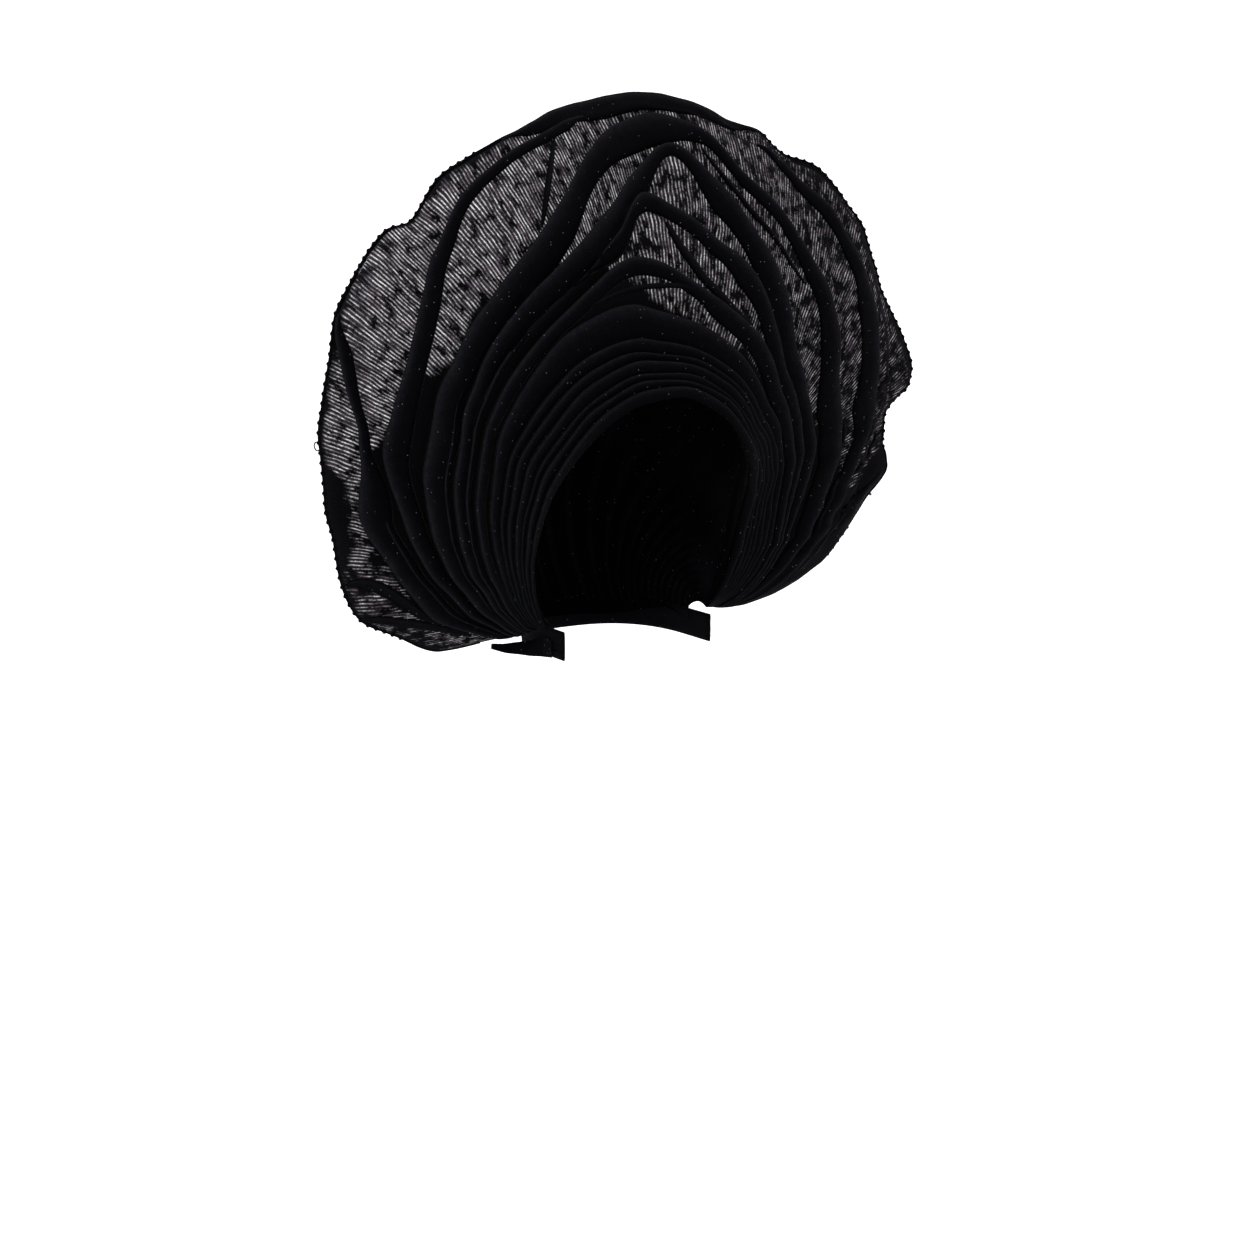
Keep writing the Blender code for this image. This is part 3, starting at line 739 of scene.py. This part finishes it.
def buildEdging():
    station = stationRun(edging["samples"])
    path = onFan(station, np.full_like(station, edging["share"]))
    way = np.concatenate([[0.0], np.cumsum(np.linalg.norm(np.diff(path, axis=0), axis=1))])
    zone = sum(((station > a) & (station < b)).astype(float) for a, b in edging["picotZones"])
    bumps = np.clip(np.sin(2 * np.pi * way / edging["spacing"]), 0, 1) ** 1.2 * zone
    made = tubeAlong("rim_edging", path, edging["radius"] + edging["picot"] * bumps, edging["sides"])
    markPoints(made, "crest", np.full(len(made.data.vertices), 0.25))
    made.data.materials.append(foldedCotton)
    return made


rimEdging = buildEdging()
print("edging:", len(rimEdging.data.polygons), "faces")


# The cap's form: the opening swung back over the head to the nape
skull = {"centre": (0.0, 4.0, -108.0), "size": (79.0, 98.0, 109.6), "power": 2.6}
cap = {
    "hinge": (-6.0, -206.0), "turn": 213.0, "tuckedTo": 1.05, "drop": 7.0, "pulls": 17,
    "stations": 260, "runs": 100, "wall": 1.2, "gap": 0.5,
}


def skullReach(direction):
    parts = np.abs(direction) / np.array(skull["size"])
    return (parts ** skull["power"]).sum(-1) ** (-1 / skull["power"])


def capPlace(station, run, lift):
    # a place on the cap, at a height over the head's form
    station, run, lift = np.broadcast_arrays(station, run, lift)
    centre = np.array(skull["centre"])
    front = spots(opening, station)
    depth, height = front[..., 1] - cap["hinge"][0], front[..., 2] - cap["hinge"][1]
    start = np.arctan2(height, -depth)
    angle = start + (math.radians(cap["turn"]) - start) * run
    arm = np.hypot(depth, height)
    swung = np.stack([
        front[..., 0], cap["hinge"][0] - np.cos(angle) * arm, cap["hinge"][1] + np.sin(angle) * arm], -1)
    direction = swung - centre
    direction /= np.linalg.norm(direction, axis=-1, keepdims=True)
    away = np.linalg.norm(front - centre, axis=-1)
    share = (away - 1.5 * cap["wall"] - cap["gap"]) / skullReach((front - centre) / away[..., None])
    scale = 1 + (share - 1) * np.clip(1 - run / 0.3, 0, 1) ** 2
    return centre + direction * (skullReach(direction) * scale + lift)[..., None]


# The wrap round the face: seven stacked pleats, the last one broad at the brow
wrap = {
    "pleats": ((0.14, 0.14, 0.20), (0.29, 0.23, 0.33), (0.38, 0.31, 0.45), (0.53, 0.44, 0.57),
               (0.68, 0.53, 0.70), (0.80, 0.66, 0.84), (1.0, 1.0, 1.0)),
    "rise": 3.1, "stations": 420, "wander": 0.5,
    "hem": ((0.09, 0.8), (0.05, 1.2), (0.02, 1.6)),
    "run": ((0.0, 0.0), (0.10, 0.12), (0.28, 0.34), (0.50, 0.58), (0.70, 0.80), (0.84, 0.94), (0.93, 1.0),
            (0.975, 0.95), (1.0, 0.72)),
}


def buildWrap():
    station = stationRun(wrap["stations"])
    length = spokeLength(station)
    edge = edgeOf("brow", station)
    hem = [capPlace(station, run, lift) for run, lift in wrap["hem"]]  # turned back over the cap's edge
    rows = [np.zeros_like(station)]
    heights = [np.full_like(station, -0.6)]
    # the crest marks are painted light: painted shade on the hem and where each pleat starts and drops, a
    # painted highlight rising towards its edge
    crests = [0.0] * (len(hem) + 1)
    start = np.zeros_like(station)
    for k, pleat in enumerate(wrap["pleats"]):
        wobble = 0  # the last pleat ends on the brow fold's edge
        if k < len(wrap["pleats"]) - 1:
            wobble = wrap["wander"] * drift(station * 55, station * 0, 20 + k) / length
        end = edge * bySide(station, pleat) + wobble
        width = (end - start) * length
        rise = wrap["rise"] * np.clip(width / 7.0, 0, 1) ** 1.2 * foldRoom(length)
        rise = rise * (1 + 0.25 * drift(station * 30, station * 3, 40 + k))
        for t, part in wrap["run"]:
            rows.append(start + (end - start) * t)
            heights.append(rise * part)
            crests.append(paintedFoldLight(t) if t < 0.99 else 0.4)
        rows.append(end + 0.25 / length)
        heights.append(rise * 0.15)
        crests.append(0.0)
        start = end - 0.1 / length
    rows.append(edge - 0.5 / length)
    heights.append(np.full_like(station, -0.4))
    shares, raised = np.stack(rows, 1), np.stack(heights, 1)
    grid = np.repeat(station[:, None], shares.shape[1], 1)
    places = clothAt(grid, shares) + clothFacing(grid, np.maximum(shares, 0.01)) * raised[..., None]
    places = np.concatenate([np.stack(hem, 1), places], 1)
    made = gridMesh("wrap_pleats", places, flip=True)
    markPoints(made, "crest", np.repeat(np.array(crests + [0.0], float)[None], len(station), 0))
    made.data.materials.append(foldedCotton)
    return made


wrapPleats = buildWrap()
print("wrap:", len(wrapPleats.data.polygons), "faces")


# The cap over the head, drawn back to the knot
def buildCap():
    station = stationRun(cap["stations"])[:, None]
    run = np.linspace(0, cap["tuckedTo"], cap["runs"])[None]  # the hem runs on inside the band
    pulls = np.sin(2 * np.pi * (cap["pulls"] * station + 0.5 * drift(station * 12, run * 3, 60)))
    pulls = (1 - 2 * np.abs(pulls) ** 0.7) * np.clip((run - 0.2) / 0.5, 0, 1)
    soft = drift(station * 20, run * 9, 61) + 0.5 * drift(station * 45, run * 22, 62)
    trim = cloth["endTrim"]
    ends = np.clip(np.minimum(station - trim, 1 - trim - station) / 0.05, 0, 1) * np.clip(run / 0.1, 0, 1)
    ends = ends * np.clip((1.0 - run) / 0.06, 0, 1)
    lift = cap["wall"] * 0.5 + ends * (0.9 + 0.9 * pulls + 0.5 * soft)
    places = capPlace(station, run, lift)
    drop = np.clip((np.abs(station - 0.5) - 0.26) / 0.14, 0, 1) * np.clip((run - 0.75) / 0.25, 0, 1)
    places[..., 2] -= cap["drop"] * drop * drop  # the sides of the hem reach down into the band
    made = gridMesh("cap_cloth", places, flip=True)
    # painted light: a painted highlight along the pulls, painted shade between them and towards the cap's
    # edges, with a random mottle
    markPoints(made, "crest", np.clip(0.16 + 0.28 * pulls + 0.10 * soft, 0.04, 1) * ends)
    made.data.materials.append(foldedCotton)
    return made


capCloth = buildCap()
print("cap:", len(capCloth.data.polygons), "faces")


# The band round the nape, with a stitched line near its lower edge
band = {
    "side": 57.4, "depth": 70.6, "front": -21.0, "top": -199.0, "height": 19.0, "wall": 1.6, "seam": 4.0,
    "thread": 0.35, "seamOut": 0.15, "round": 0.25, "rib": 0.12,
    "straightTo": 2.0, "steps": 61, "endSteps": 8,
}


def bandLine(out, height):
    # round the nape at one height, with the two straight ends beside the face
    turn = np.linspace(0, np.pi, band["steps"])
    side = -np.sign(np.cos(turn)) * np.abs(np.cos(turn)) ** (2 / skull["power"])
    depth = np.abs(np.sin(turn)) ** (2 / skull["power"])
    line = np.stack([side * (band["side"] + out), skull["centre"][1] + depth * (band["depth"] + out)], 1)
    start = np.linspace(band["front"], band["straightTo"], band["endSteps"])
    left = np.stack([np.full_like(start, -band["side"] - out), start], 1)
    right = np.stack([np.full_like(start, band["side"] + out), start[::-1]], 1)
    flat = np.concatenate([left, line, right])
    return np.concatenate([flat, np.full((len(flat), 1), height)], 1)


def buildBand():
    half = band["wall"] / 2
    profile = []
    for t in np.linspace(0, 1, 9):
        out = half - band["round"] * abs(2 * t - 1) ** 6 + band["rib"] * math.sin(14 * t)
        profile.append((out, -t * band["height"]))
    for t in np.linspace(1, 0, 9):
        profile.append((-half + band["round"] * abs(2 * t - 1) ** 6, -t * band["height"]))
    rings = [bandLine(out, band["top"] + down) for out, down in profile]
    body = gridMesh("nape_band_cloth", np.stack(rings, 1), closed=True)
    markPoints(body, "crest", np.full(len(body.data.vertices), 0.18))
    path = bandLine(half + band["seamOut"], band["top"] - band["height"] + band["seam"])
    seam = tubeAlong("band_seam", path, np.full(len(path), band["thread"]), 6, (0.0, 0.0, 1.0))
    markPoints(seam, "crest", np.full(len(seam.data.vertices), 0.6))
    made = pieceOf("nape_band_cloth", [body, seam])
    closeEnds(made)
    made.data.materials.append(foldedCotton)
    return made


napeBand = buildBand()


# The knot at the back and the short end beside it
knot = {"size": (17.0, 10.0, 13.0), "flat": 7.0, "place": (0.0, 83.3, -206.0)}


def buildKnot():
    bpy.ops.object.select_all(action="DESELECT")
    bpy.ops.mesh.primitive_uv_sphere_add(segments=96, ring_count=48, radius=1.0)
    made = bpy.context.active_object
    spot = np.empty(len(made.data.vertices) * 3)
    made.data.vertices.foreach_get("co", spot)
    spot = spot.reshape(-1, 3)
    x, y, z = spot.T
    pleats = 0.05 * np.sin(9 * z + 5 * x * x + 2 * x)
    waist = -0.16 * np.exp(-(x / 0.22) ** 2) * (1 + 0.4 * np.sin(14 * z))
    grown = spot * np.array(knot["size"]) * (1 + pleats + waist)[:, None]
    grown[:, 1] = np.maximum(grown[:, 1], -knot["flat"])
    made.data.vertices.foreach_set("co", ((grown + np.array(knot["place"])) * mm).ravel())
    bpy.ops.object.shade_smooth()
    # painted light: a painted highlight on the knot's pleats, painted shade in its pinched waist
    markPoints(made, "crest", np.clip(0.3 + 5 * pleats + waist, 0.02, 0.8))
    made.name = "back_knot"
    made.data.materials.append(foldedCotton)
    return made


tail = {
    "line": ((0.0, -59.6, -8, -212, 12), (0.25, -60.2, 4, -213, 13), (0.5, -66, 14, -215, 10),
             (0.75, -76, 20, -215, 7), (1.0, -87, 23, -213, 4)),
    "wall": 2.0,
}


def buildTail():
    t = np.linspace(0, 1, 50)
    middle = np.stack([smoothRun(tail["line"], column, t) for column in (1, 2, 3)], -1)
    width = smoothRun(tail["line"], 4, t)
    rows = []
    for turn in np.linspace(0, 2 * np.pi, 20, endpoint=False):
        up = np.sign(math.sin(turn)) * abs(math.sin(turn)) ** 0.5 * width / 2
        out = np.sign(math.cos(turn)) * abs(math.cos(turn)) ** 0.6 * tail["wall"] / 2
        ripple = 0.5 * np.sin(t * 9 + up * 0.35)
        rows.append(middle + np.stack([0 * t, out + ripple, up], -1))
    made = gridMesh("tie_tail_cloth", np.stack(rows, 1), closed=True)
    markPoints(made, "crest", np.full(len(made.data.vertices), 0.2))
    closeEnds(made)
    made.data.materials.append(foldedCotton)
    return made


backKnot = buildKnot()
tieTail = buildTail()
print("band, knot and tail ready")


# The pins keep their solids and get a finish each
def pinMaterial(name, colour, metallic, roughness):
    # drawn steel wire and a dipped ball head, both smooth enough to catch a small highlight
    made, _, shader = newMaterial(name)
    shader.inputs["Base Color"].default_value = hexColour(colour)
    shader.inputs["Metallic"].default_value = metallic
    shader.inputs["Roughness"].default_value = roughness
    return made


for node, finish in (
    ("loop_pin", pinMaterial("drawn steel wire", "4a413c", 1.0, 0.45)),
    ("ball_pin", pinMaterial("enamelled pin head", "3a3434", 0.0, 0.3)),
):
    nodes[node].data.materials.clear()
    nodes[node].data.materials.append(finish)

# What stands for what: the frame part that each new piece stands for is hidden, and the pieces ride on the
# root
for piece, node in ((fanSheet, "fan"), (wrapPleats, "front_wrap"), (capCloth, "crown_cap"),
                    (napeBand, "nape_band"), (backKnot, "tie_knot"), (tieTail, "tie_tail")):
    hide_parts(node)
for piece in (fanSheet, fanTucks, rimEdging, wrapPleats, capCloth, napeBand, backKnot, tieTail):
    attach(piece, "root")
print("pieces ride on the root")
# Camera, light and floor
camera = {"place": (-0.5927, -0.9485, 0.0236), "yaw": 32.17, "pitch": -11.57, "lens": 48.57}
bpy.ops.object.camera_add(
    location=camera["place"],
    rotation=(math.radians(90 + camera["pitch"]), 0, math.radians(-camera["yaw"])),
)
bpy.context.scene.camera = bpy.context.active_object
bpy.context.scene.camera.data.lens = camera["lens"]

stage = {"floor": -0.62, "near": -3.0, "far": 2.6, "side": 4.0, "curve": 0.8, "top": 4.0, "steps": 16}


def buildStage():
    line = [(stage["near"], stage["floor"])]
    for k in range(stage["steps"] + 1):
        turn = math.pi / 2 * k / stage["steps"]
        line.append((
            stage["far"] - stage["curve"] + stage["curve"] * math.sin(turn),
            stage["floor"] + stage["curve"] * (1 - math.cos(turn)),
        ))
    line.append((stage["far"], stage["top"]))
    turned = math.radians(-camera["yaw"])
    rows = []
    for side in (-stage["side"], stage["side"]):
        rows.append([(
            side * math.cos(turned) - y * math.sin(turned),
            side * math.sin(turned) + y * math.cos(turned),
            z,
        ) for y, z in line])
    made = gridMesh("studio_sweep", np.array(rows) / mm)
    finish, _, shader = newMaterial("matt studio paper")
    shader.inputs["Base Color"].default_value = hexColour("f4f4f4")
    shader.inputs["Roughness"].default_value = 0.9
    shader.inputs["Emission Color"].default_value = (1, 1, 1, 1)
    shader.inputs["Emission Strength"].default_value = 0.25
    made.data.materials.append(finish)
    return made


buildStage()


def addLight(name, place, size, power):
    bpy.ops.object.light_add(type="AREA", location=place)
    made = bpy.context.active_object
    made.name = name
    made.data.size = size
    made.data.energy = power
    made.rotation_euler = (Vector((0, 0, -0.05)) - Vector(place)).to_track_quat("-Z", "Y").to_euler()


lights = (  # name, place, size in metres, watts
    ("key", (-1.6, -1.7, 1.5), 1.2, 40),
    ("fill", (1.7, -1.5, 0.9), 1.6, 22),
    ("top", (0.2, 0.3, 2.2), 1.6, 20),
    ("behind", (0.7, 1.9, 0.9), 1.4, 16),
)
for light in lights:
    addLight(*light)
world = bpy.context.scene.world or bpy.data.worlds.new("studio")
bpy.context.scene.world = world
world.use_nodes = True
world.node_tree.nodes["Background"].inputs[0].default_value = (1, 1, 1, 1)
world.node_tree.nodes["Background"].inputs[1].default_value = 0.75
bpy.context.scene.view_settings.view_transform = "Standard"

print("stage set")
